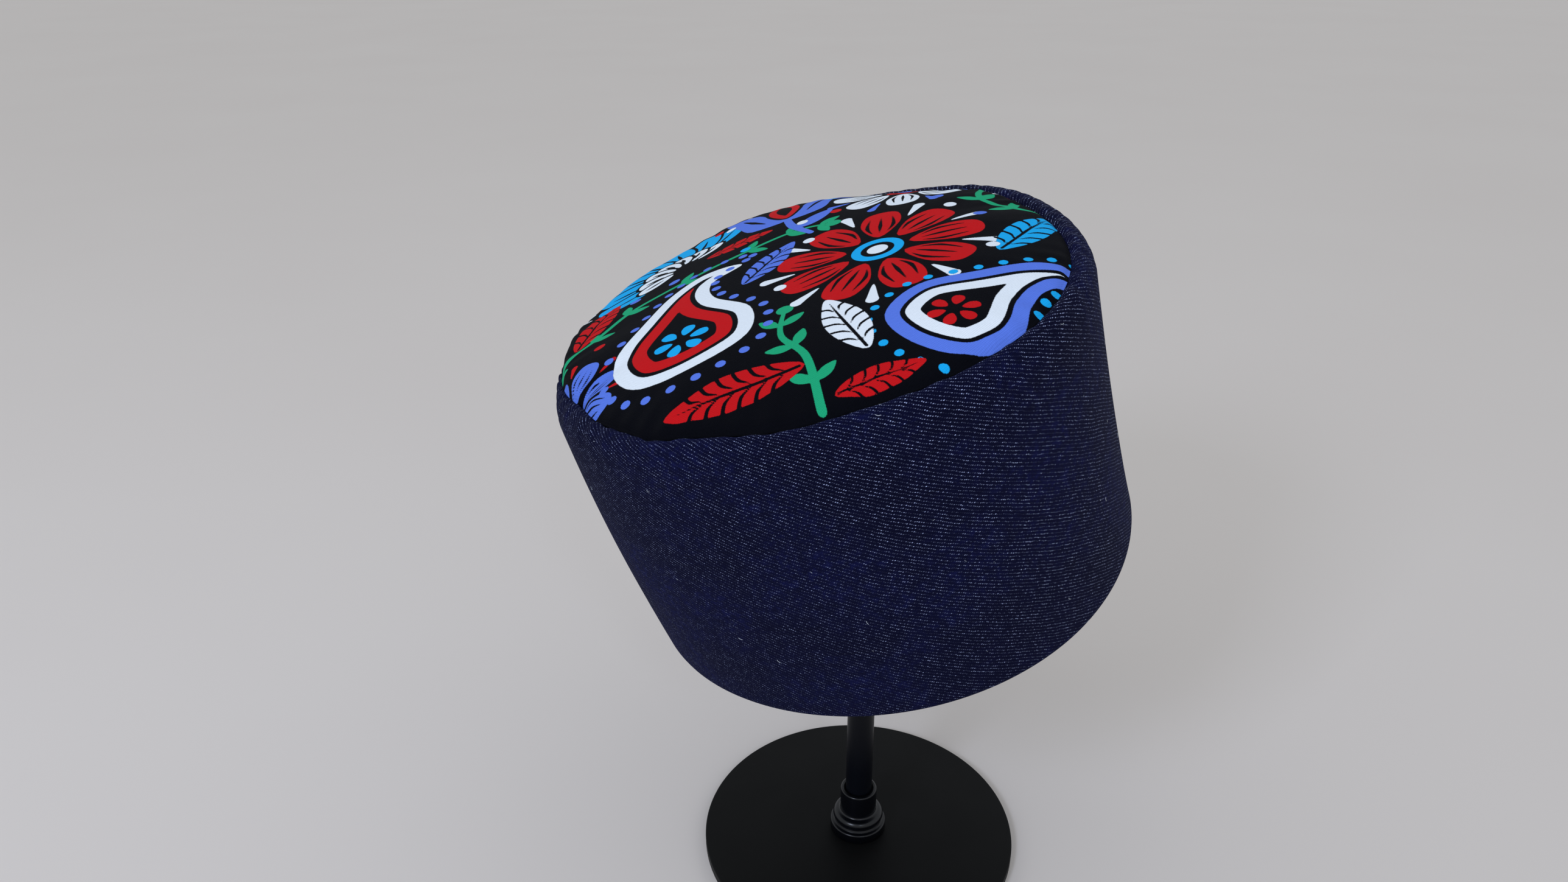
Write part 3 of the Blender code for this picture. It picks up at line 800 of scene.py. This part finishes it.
def printed_cotton():
    """Plain-weave cotton, screen-printed: flat bright inks with slightly soft, thread-stepped edges on black.

    Matt and dry, with the weave just showing in the light.
    """
    look = {"Roughness": 0.8, "Specular IOR Level": 0.05}
    finish, tree, shader = new_material("screen_printed_cotton", look)
    place = add_node(tree, "ShaderNodeUVMap", uv_map="cloth").outputs["UV"]
    axes = add_node(tree, "ShaderNodeSeparateXYZ", place)
    threads = []
    for axis in axes.outputs[:2]:
        turn = add_node(tree, "ShaderNodeMath", axis, math.pi / THREAD_PITCH, operation="MULTIPLY")
        threads.append(add_node(tree, "ShaderNodeMath", turn, operation="SINE"))
    weave = add_node(tree, "ShaderNodeMath", *threads, operation="MULTIPLY")
    grain = {"Vector": place, "Scale": 1.0 / COTTON_GRAIN, "Detail": 3.0}
    grain = add_node(tree, "ShaderNodeTexNoise", grain)

    # Each ink lies over the black where its distance is negative, and strays a little with the threads
    stray = add_node(tree, "ShaderNodeMath", grain, 0.2, -0.1, operation="MULTIPLY_ADD")
    stray = add_node(tree, "ShaderNodeMath", weave, 0.05, stray, operation="MULTIPLY_ADD")
    colours = {"Factor": grain, 6: linear(COTTON_COLOURS[0]), 7: linear(COTTON_COLOURS[1])}
    colour = add_node(tree, "ShaderNodeMix", colours, data_type="RGBA").outputs[2]
    for name, ink_colour in INKS.items():
        distance = add_node(tree, "ShaderNodeAttribute", attribute_name="ink_" + name).outputs["Fac"]
        strayed = add_node(tree, "ShaderNodeMath", distance, stray, operation="ADD")
        cover = add_node(tree, "ShaderNodeMapRange", strayed, INK_EDGE, -INK_EDGE)
        colours = {"Factor": cover, 6: colour, 7: linear(ink_colour)}
        colour = add_node(tree, "ShaderNodeMix", colours, data_type="RGBA").outputs[2]

    # The threads shade the colour a little, and stand out as a fine relief
    shade = add_node(tree, "ShaderNodeMath", grain, 0.16, 0.85, operation="MULTIPLY_ADD")
    shade = add_node(tree, "ShaderNodeMath", weave, 0.09, shade, operation="MULTIPLY_ADD")
    shades = add_node(tree, "ShaderNodeCombineColor", shade, shade, shade)
    colours = {"Factor": 1.0, 6: colour, 7: shades}
    colour = add_node(tree, "ShaderNodeMix", colours, data_type="RGBA", blend_type="MULTIPLY").outputs[2]
    tree.links.new(colour, shader.inputs["Base Color"])
    height = add_node(tree, "ShaderNodeMath", grain, 1.5, weave, operation="MULTIPLY_ADD")
    relief = {"Strength": 0.5, "Distance": COTTON_RELIEF * MM, "Height": height}
    tree.links.new(add_node(tree, "ShaderNodeBump", relief).outputs[0], shader.inputs["Normal"])
    return finish


def build_crown():
    angle, share = disc(CROWN_CELLS)
    seam = seam_radius(angle)
    height = SEAM_HEIGHT + crown_height(angle, share) + crown_relief(angle, share)
    top = cap_points(angle, 1.0, share * (seam - SEAM_PLAY), height)
    edge = disc_edge(CROWN_CELLS)
    edge_angle = angle[edge]
    edge_radius = seam_radius(edge_angle) - SEAM_PLAY
    edge_height = SEAM_HEIGHT + seam_level(edge_angle) - SEAM_DIP
    turned_down = [cap_points(edge_angle, 1.0, edge_radius, edge_height - drop) for drop in TURNED_EDGES]
    angle, share = disc(LINING_CELLS)
    height = SEAM_HEIGHT + crown_height(angle, share) - CROWN_WALL - LINING_DROP * share**12
    lining = cap_points(angle, 1.0, share * (seam_radius(angle) - CROWN_WALL), height)
    points = np.concatenate([top, *turned_down, lining])

    faces = [tuple(face) for face in disc_faces(CROWN_CELLS)[:, ::-1].tolist()]
    rings = [edge, len(top) + np.arange(len(edge)), len(top) + len(edge) + np.arange(len(edge))]
    for upper, lower in zip(rings, rings[1:]):
        after_upper, after_lower = np.roll(upper, -1), np.roll(lower, -1)
        faces += np.stack([upper, lower, after_lower, after_upper], axis=1).tolist()
    start = len(top) + 2 * len(edge)
    lining_edge = start + disc_edge(LINING_CELLS)
    step = len(edge) // len(lining_edge)
    last = rings[-1]
    for i, corner in enumerate(lining_edge):
        here = [int(last[(step * i + k) % len(last)]) for k in range(step + 1)]
        after = int(lining_edge[(i + 1) % len(lining_edge)])
        faces.append((*here, after, int(corner)))
    faces += (start + disc_faces(LINING_CELLS)).tolist()
    order = np.concatenate([np.asarray(face) for face in faces])
    flat = points[order][:, :2]
    piece = cloth_piece("printed_crown", points, faces, flat, printed_cotton())

    plan = points[: len(top), :2]
    ink = Print(plan[:, 0], plan[:, 1])
    draw_print(ink)
    for name, field in ink.ink.items():
        values = np.full(len(points), NO_INK, dtype=np.float32)
        values[: len(top)] = field
        piece.data.attributes.new("ink_" + name, "FLOAT", "POINT").data.foreach_set("value", values)
    return piece


crown = build_crown()
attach(crown, "root")
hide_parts("crown_tip")


# Lint: a few short pale cotton fibres that lie on the denim and on the crown. They are scattered over the
# outer faces with a fixed seed, each one turned and sized at random.

FIBRE_LENGTH = 1.5
FIBRE_BEND = 0.45
FIBRE_RADIUS = 0.06
FIBRE_LIFT = 0.06
FIBRE_COLOUR = "#ccd4de"
CAP_MIDDLE = to_stand(np.array([0.0, 0.0, 45.0]))
LINT_SEED = 4

# The smallest fibre's share of a whole one's size, and the fibres for each square metre of cloth
SMALLEST_SHARE = 0.3
LINT_ON_DENIM = 1300.0
LINT_ON_COTTON = 900.0


def new_tree(name, inputs, output):
    """A Geometry Nodes tree with named inputs and one shape as its output, and its input sockets."""
    tree = bpy.data.node_groups.new(name, "GeometryNodeTree")
    for socket, kind in inputs.items():
        tree.interface.new_socket(socket, in_out="INPUT", socket_type="NodeSocket" + kind)
    tree.interface.new_socket(output, in_out="OUTPUT", socket_type="NodeSocketGeometry")
    return tree, add_node(tree, "NodeGroupInput").outputs


def lint_tree():
    """Scatters short bent fibres over the faces of a cloth that look away from a middle point."""
    inputs = {
        "Cloth": "Geometry",
        "Middle": "Vector",
        "Density": "Float",
        "Length": "Float",
        "Smallest": "Float",
        "Bend": "Float",
        "Radius": "Float",
        "Lift": "Float",
        "Seed": "Int",
        "Finish": "Material",
    }
    tree, given = new_tree("lint", inputs, "Lint")

    normal = add_node(tree, "GeometryNodeInputNormal")
    position = add_node(tree, "GeometryNodeInputPosition")
    outward = add_node(tree, "ShaderNodeVectorMath", position, given["Middle"], operation="SUBTRACT")
    facing = add_node(tree, "ShaderNodeVectorMath", outward, normal, operation="DOT_PRODUCT").outputs["Value"]
    outer = add_node(tree, "FunctionNodeCompare", facing, data_type="FLOAT", operation="GREATER_THAN")
    scatter = {"Mesh": given["Cloth"], "Selection": outer, "Density": given["Density"], "Seed": given["Seed"]}
    spots = add_node(tree, "GeometryNodeDistributePointsOnFaces", scatter).outputs
    upwards = {0: spots["Normal"], "Scale": given["Lift"]}
    lift = add_node(tree, "ShaderNodeVectorMath", upwards, operation="SCALE")
    raised = add_node(tree, "GeometryNodeSetPosition", {"Geometry": spots["Points"], "Offset": lift})

    half = add_node(tree, "ShaderNodeMath", given["Length"], 0.5, operation="MULTIPLY")
    other_half = add_node(tree, "ShaderNodeMath", half, -1.0, operation="MULTIPLY")
    start = add_node(tree, "ShaderNodeCombineXYZ", other_half)
    middle = add_node(tree, "ShaderNodeCombineXYZ", 0.0, given["Bend"])
    end = add_node(tree, "ShaderNodeCombineXYZ", half)
    bow = {"Resolution": 6, "Start": start, "Middle": middle, "End": end}
    path = add_node(tree, "GeometryNodeCurveQuadraticBezier", bow)
    ring = add_node(tree, "GeometryNodeCurvePrimitiveCircle", {"Resolution": 5, "Radius": given["Radius"]})
    swept = {"Curve": path, "Profile Curve": ring, "Fill Caps": True}
    fibre = add_node(tree, "GeometryNodeCurveToMesh", swept)

    upright = add_node(tree, "FunctionNodeAlignRotationToVector", {"Vector": spots["Normal"]}, axis="Z")
    turns = {2: 0.0, 3: 2.0 * math.pi, "Seed": given["Seed"]}
    any_turn = add_node(tree, "FunctionNodeRandomValue", turns, data_type="FLOAT").outputs[1]
    spin = add_node(tree, "ShaderNodeCombineXYZ", {2: any_turn})
    spin = add_node(tree, "FunctionNodeEulerToRotation", spin)
    laid = {"Rotation": upright, "Rotate By": spin}
    laid = add_node(tree, "FunctionNodeRotateRotation", laid, rotation_space="LOCAL")
    sizes = {2: given["Smallest"], 3: 1.0, "Seed": 1}
    any_size = add_node(tree, "FunctionNodeRandomValue", sizes, data_type="FLOAT").outputs[1]
    fibres = {"Points": raised, "Instance": fibre, "Rotation": laid, "Scale": any_size}
    scattered = add_node(tree, "GeometryNodeInstanceOnPoints", fibres)
    real = add_node(tree, "GeometryNodeRealizeInstances", scattered)
    finished = add_node(tree, "GeometryNodeSetMaterial", {"Geometry": real, "Material": given["Finish"]})
    add_node(tree, "NodeGroupOutput", {"Lint": finished})
    return tree


def applied(piece, tree, inputs):
    """Runs a Geometry Nodes tree on a piece and keeps the result as its plain mesh."""
    modifier = piece.modifiers.new(tree.name, "NODES")
    modifier.node_group = tree
    for item in tree.interface.items_tree:
        if item.item_type == "SOCKET" and item.in_out == "INPUT" and item.name in inputs:
            modifier[item.identifier] = inputs[item.name]
    depsgraph = bpy.context.evaluated_depsgraph_get()
    mesh = bpy.data.meshes.new_from_object(piece.evaluated_get(depsgraph))
    piece.modifiers.clear()
    piece.data = mesh
    mesh.name = piece.name
    return piece


def cotton_lint():
    """Loose cotton fibres: soft, matt and nearly white."""
    look = {"Base Color": linear(FIBRE_COLOUR), "Roughness": 0.9, "Specular IOR Level": 0.1}
    return new_material("loose_cotton_lint", look)[0]


LINT_TREE = lint_tree()
LINT_FINISH = cotton_lint()


def add_lint(cloth, name, per_square_metre):
    """Lint over one cloth. It rides with the cap."""
    inputs = {
        "Middle": CAP_MIDDLE.tolist(),
        "Density": per_square_metre,
        "Length": FIBRE_LENGTH * MM,
        "Smallest": SMALLEST_SHARE,
        "Bend": FIBRE_BEND * MM,
        "Radius": FIBRE_RADIUS * MM,
        "Lift": FIBRE_LIFT * MM,
        "Seed": LINT_SEED,
        "Finish": LINT_FINISH,
    }
    lint = applied(in_scene(name, cloth.data.copy()), LINT_TREE, inputs)
    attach(lint, "root")


add_lint(band, "lint_on_denim", LINT_ON_DENIM)
add_lint(crown, "lint_on_crown", LINT_ON_COTTON)


# The base plate: a round steel plate with broken edges, cut flat and powder-coated black. Its weight keeps
# the stand up, and the foot and the rod are fixed on its middle.

PLATE_RADIUS = 63.1
PLATE_THICKNESS = 4.0
PLATE_EDGE = 0.6
TURNED_SEGMENTS = 192
MERGE_DISTANCE = 0.001
GLOSS_PATCH = 25.0


def turning_tree():
    """Swings a profile of joined points round the upright axis into a closed turned piece."""
    inputs = {"Profile": "Geometry", "Segments": "Int", "Finish": "Material"}
    tree, given = new_tree("turned_piece", inputs, "Piece")
    count = add_node(tree, "GeometryNodeAttributeDomainSize", given["Profile"], component="MESH")
    around = add_node(tree, "ShaderNodeMath", given["Segments"], 1.0, operation="ADD")
    sides = {"Vertices X": count.outputs["Point Count"], "Vertices Y": around}
    grid = add_node(tree, "GeometryNodeMeshGrid", sides)
    index = add_node(tree, "GeometryNodeInputIndex")
    row = add_node(tree, "ShaderNodeMath", index, around, operation="DIVIDE")
    row = add_node(tree, "ShaderNodeMath", row, operation="FLOOR")
    column = add_node(tree, "ShaderNodeMath", index, around, operation="FLOORED_MODULO")
    step = add_node(tree, "ShaderNodeMath", 2.0 * math.pi, given["Segments"], operation="DIVIDE")
    turn = add_node(tree, "ShaderNodeMath", column, step, operation="MULTIPLY")
    position = add_node(tree, "GeometryNodeInputPosition")
    point = {"Geometry": given["Profile"], "Value": position, "Index": row}
    point = add_node(tree, "GeometryNodeSampleIndex", point, data_type="FLOAT_VECTOR", domain="POINT")
    swung = add_node(tree, "ShaderNodeVectorRotate", {"Vector": point, "Angle": turn}, rotation_type="Z_AXIS")
    shaped = add_node(tree, "GeometryNodeSetPosition", {"Geometry": grid, "Position": swung})
    joined = {"Geometry": shaped, "Distance": MERGE_DISTANCE * MM}
    joined = add_node(tree, "GeometryNodeMergeByDistance", joined)
    smooth = add_node(tree, "GeometryNodeSetShadeSmooth", {"Geometry": joined})
    real = add_node(tree, "GeometryNodeRealizeInstances", smooth)
    finished = add_node(tree, "GeometryNodeSetMaterial", {"Geometry": real, "Material": given["Finish"]})
    add_node(tree, "NodeGroupOutput", {"Piece": finished})
    return tree


TURNING = turning_tree()


def turned_piece(name, profile, finish):
    """A turned piece from (radius, height) points in mm, from the axis or bore at the bottom, out and up."""
    mesh = bpy.data.meshes.new(name + "_profile")
    points = [(radius * MM, 0.0, height * MM) for radius, height in profile]
    mesh.from_pydata(points, [(i, i + 1) for i in range(len(points) - 1)], [])
    return applied(in_scene(name, mesh), TURNING, {"Segments": TURNED_SEGMENTS, "Finish": finish})


def rounded(corners, steps=6, hold=0.25):
    """A profile through corners of (radius, height, rounding), with points held close beside each round."""
    path = []
    for i, (x, y, rounding) in enumerate(corners):
        here = np.array([x, y])
        if rounding == 0.0:
            path.append(here)
            continue
        before = np.array(corners[i - 1][:2]) - here
        after = np.array(corners[i + 1][:2]) - here
        before_way, after_way = before / np.linalg.norm(before), after / np.linalg.norm(after)
        half = 0.5 * math.acos(float(np.clip(before_way @ after_way, -1.0, 1.0)))
        back = rounding / math.tan(half)
        start, end = here + before_way * back, here + after_way * back
        path.append(start + before_way * hold * rounding)
        for t in np.linspace(0.0, 1.0, steps + 1):
            path.append((1 - t) ** 2 * start + 2 * t * (1 - t) * here + t**2 * end)
        path.append(end + after_way * hold * rounding)
    return [tuple(p) for p in path]


def black_finish(name, colour, roughness, unevenness, grain, relief, specular=0.5):
    """Black paint or plastic: an even colour, a slightly uneven gloss, and a skin grain and relief in mm."""
    finish, tree, shader = new_material(name, {"Base Color": linear(colour), "Specular IOR Level": specular})
    place = add_node(tree, "ShaderNodeTexCoord").outputs["Object"]
    clouds = {"Vector": place, "Scale": 1.0 / (GLOSS_PATCH * MM), "Detail": 4.0}
    clouds = add_node(tree, "ShaderNodeTexNoise", clouds)
    low, high = roughness - unevenness, roughness + unevenness
    gloss = add_node(tree, "ShaderNodeMapRange", clouds, 0.3, 0.7, low, high)
    tree.links.new(gloss.outputs[0], shader.inputs["Roughness"])
    skin = add_node(tree, "ShaderNodeTexNoise", {"Vector": place, "Scale": 1.0 / (grain * MM), "Detail": 1.0})
    bump = add_node(tree, "ShaderNodeBump", {"Strength": 0.6, "Distance": relief * MM, "Height": skin})
    tree.links.new(bump.outputs[0], shader.inputs["Normal"])
    return finish


# Powder coat melts into an even satin skin with a faint pebbling, and shows the light as one soft pale patch
coated_steel = black_finish(
    "powder_coated_steel", "#090909", roughness=0.52, unevenness=0.04, grain=0.45, relief=0.02, specular=0.1
)
plate_corners = (
    (0.0, 0.0, 0.0),
    (PLATE_RADIUS, 0.0, PLATE_EDGE),
    (PLATE_RADIUS, PLATE_THICKNESS, PLATE_EDGE),
    (0.0, PLATE_THICKNESS, 0.0),
)
plate = turned_piece("base_plate", rounded(plate_corners), coated_steel)
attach(plate, "root")
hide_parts("stand_base")


# The foot: a small collar of black plastic, moulded in one turned shape, which hides where the rod meets the
# plate. It has a flange, a groove, a round bead and a straight collar, and is slipped over the rod.

GAP = 0.3
ROD_RADIUS = 5.3
FLANGE_RADIUS = 11.3
FLANGE_TOP = 8.4
GROOVE_RADIUS = 9.6
GROOVE_TOP = 9.2
GROOVE_FILLET = 0.15
BEAD_RADIUS = 10.2
BEAD_TOP = 13.4
COLLAR_RADIUS = 7.3
COLLAR_START = 14.4
COLLAR_TOP = 24.5
EDGE_ROUND = 0.7
EDGE_BREAK = 0.1


def arc(centre, radius, start, end, steps):
    """Points of (radius, height) along an arc, its angles in degrees from the outward direction."""
    turns = [math.radians(start + (end - start) * i / steps) for i in range(steps + 1)]
    return [(centre[0] + radius * math.cos(a), centre[1] + radius * math.sin(a)) for a in turns]


def foot_profile():
    """From the bore outwards and up: flange, groove, round bead, flare and collar, and back down the bore."""
    bore = ROD_RADIUS + GAP
    bottom = PLATE_THICKNESS + GAP
    half = 0.5 * (BEAD_TOP - GROOVE_TOP)
    flare = COLLAR_START - BEAD_TOP
    profile = [(bore, bottom), (FLANGE_RADIUS - EDGE_BREAK, bottom), (FLANGE_RADIUS, bottom + EDGE_BREAK)]
    profile += arc((FLANGE_RADIUS - EDGE_ROUND, FLANGE_TOP - EDGE_ROUND), EDGE_ROUND, 0.0, 90.0, 6)
    profile += [(GROOVE_RADIUS + GROOVE_FILLET, FLANGE_TOP), (GROOVE_RADIUS, FLANGE_TOP + GROOVE_FILLET)]
    profile += [(GROOVE_RADIUS, GROOVE_TOP)]
    profile += arc((BEAD_RADIUS - half, 0.5 * (BEAD_TOP + GROOVE_TOP)), half, -60.0, 75.0, 16)
    profile += arc((COLLAR_RADIUS + flare, COLLAR_START), flare, 255.0, 180.0, 8)
    profile += arc((COLLAR_RADIUS - EDGE_ROUND, COLLAR_TOP - EDGE_ROUND), EDGE_ROUND, 0.0, 90.0, 6)
    profile += [(bore, COLLAR_TOP), (bore, bottom)]
    return profile


# Plastic from a polished mould is deep black and glossy, with small sharp highlights on its rounds
moulded_gloss = black_finish(
    "gloss_moulded_foot", "#030408", roughness=0.26, unevenness=0.03, grain=0.6, relief=0.004, specular=0.34
)
foot = turned_piece("turned_foot", foot_profile(), moulded_gloss)
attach(foot, "root")
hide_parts("stand_foot")


# The rod: a straight steel tube, painted satin black, from inside the foot up into the cap. It stands on the
# plate, and the dome is pushed on its top.

ROD_EDGE = 0.3

post_low, post_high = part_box("stand_post")
rod_corners = (
    (0.0, post_low[2] / MM, 0.0),
    (ROD_RADIUS, post_low[2] / MM, ROD_EDGE),
    (ROD_RADIUS, post_high[2] / MM, ROD_EDGE),
    (0.0, post_high[2] / MM, 0.0),
)

# Sprayed paint on a drawn tube is smooth, with one long soft highlight
painted_tube = black_finish(
    "satin_painted_tube", "#05070d", roughness=0.34, unevenness=0.04, grain=0.5, relief=0.008, specular=0.16
)
rod = turned_piece("stand_rod", rounded(rod_corners), painted_tube)
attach(rod, "root")
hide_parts("stand_post")


# The dome: a plain moulded cap of black plastic on the rod's top, hidden inside the kufi, on which the crown
# lies. Its shape is the frame's own.

# Plastic from a spark-eroded mould is dull, with a fine even grain
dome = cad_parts["hat_rest"].data
dome.materials.clear()
dome.materials.append(
    black_finish("matt_moulded_dome", "#1a1a1a", roughness=0.6, unevenness=0.05, grain=0.8, relief=0.03)
)


# Studio: a plain pale floor in a pale room, soft daylight and a small window behind the camera, which give
# the foot its highlights, and the camera at the photo's angle. All but the lens, the film and the floor's
# clouds is in metres.

FLOOR_REACH = 9.0
FLOOR_COLOURS = ("#d3cbc5", "#d7d0ca")
FLOOR_CLOUD = 333.0
DAYLIGHT_COLOUR = "#dae6ff"
LIT_PLACE = Vector((0.0, 0.0, 0.17))
ROOM_COLOUR = "#dfe4ea"
ROOM_STRENGTH = 0.9
CAMERA_PLACE = (0.0, -0.3553, 0.3490)
CAMERA_RIGHT = (0.99660, 0.08232, -0.00397)
CAMERA_DOWN = (0.03174, -0.42786, -0.90329)
CAMERA_AHEAD = (-0.07606, 0.90009, -0.42901)
CAMERA_LENS = 25.79
SENSOR_WIDTH = 36.0
NEAREST_SEEN = 0.01


def pale_floor():
    """A smooth floor painted a pale warm grey: matt, with hardly seen clouds in its tone."""
    finish, tree, shader = new_material("pale_matt_floor", {"Roughness": 0.9})
    place = add_node(tree, "ShaderNodeTexCoord").outputs["Object"]
    clouds = {"Vector": place, "Scale": 1.0 / (FLOOR_CLOUD * MM), "Detail": 3.0}
    clouds = add_node(tree, "ShaderNodeTexNoise", clouds)
    colours = {"Factor": clouds, 6: linear(FLOOR_COLOURS[0]), 7: linear(FLOOR_COLOURS[1])}
    tone = add_node(tree, "ShaderNodeMix", colours, data_type="RGBA").outputs[2]
    tree.links.new(tone, shader.inputs["Base Color"])
    return finish


def add_floor():
    mesh = bpy.data.meshes.new("floor")
    r = FLOOR_REACH
    mesh.from_pydata([(-r, -r, 0.0), (r, -r, 0.0), (r, r, 0.0), (-r, r, 0.0)], [], [(0, 1, 2, 3)])
    mesh.materials.append(pale_floor())
    floor = in_scene("floor", mesh)


def add_light(name, place, side, power):
    """A square soft light that faces the cap: its place and side in metres, and its power in watts."""
    lamp = bpy.data.lights.new(name, "AREA")
    lamp.size = side
    lamp.energy = power
    lamp.color = linear(DAYLIGHT_COLOUR)[:3]
    light = in_scene(name, lamp)
    light.location = place
    light.rotation_euler = (LIT_PLACE - Vector(place)).to_track_quat("-Z", "Y").to_euler()


def add_room():
    """The room's own even light."""
    world = bpy.data.worlds.new("pale_room")
    world.use_nodes = True
    room = world.node_tree.nodes["Background"].inputs
    room["Color"].default_value = linear(ROOM_COLOUR)
    room["Strength"].default_value = ROOM_STRENGTH
    bpy.context.scene.world = world


def add_camera():
    data = bpy.data.cameras.new("camera")
    data.lens = CAMERA_LENS
    data.sensor_width = SENSOR_WIDTH
    data.clip_start = NEAREST_SEEN
    camera = in_scene("camera", data)
    columns = Matrix((CAMERA_RIGHT, -Vector(CAMERA_DOWN), -Vector(CAMERA_AHEAD))).transposed()
    camera.matrix_world = Matrix.Translation(CAMERA_PLACE) @ columns.to_4x4()
    bpy.context.scene.camera = camera


add_floor()
add_light("daylight", (-0.72, -1.15, 1.02), side=0.34, power=9.0)
add_light("window", (0.38, -1.3, 1.0), side=0.15, power=1.6)
add_room()
add_camera()
bpy.context.scene.view_settings.view_transform = "Standard"
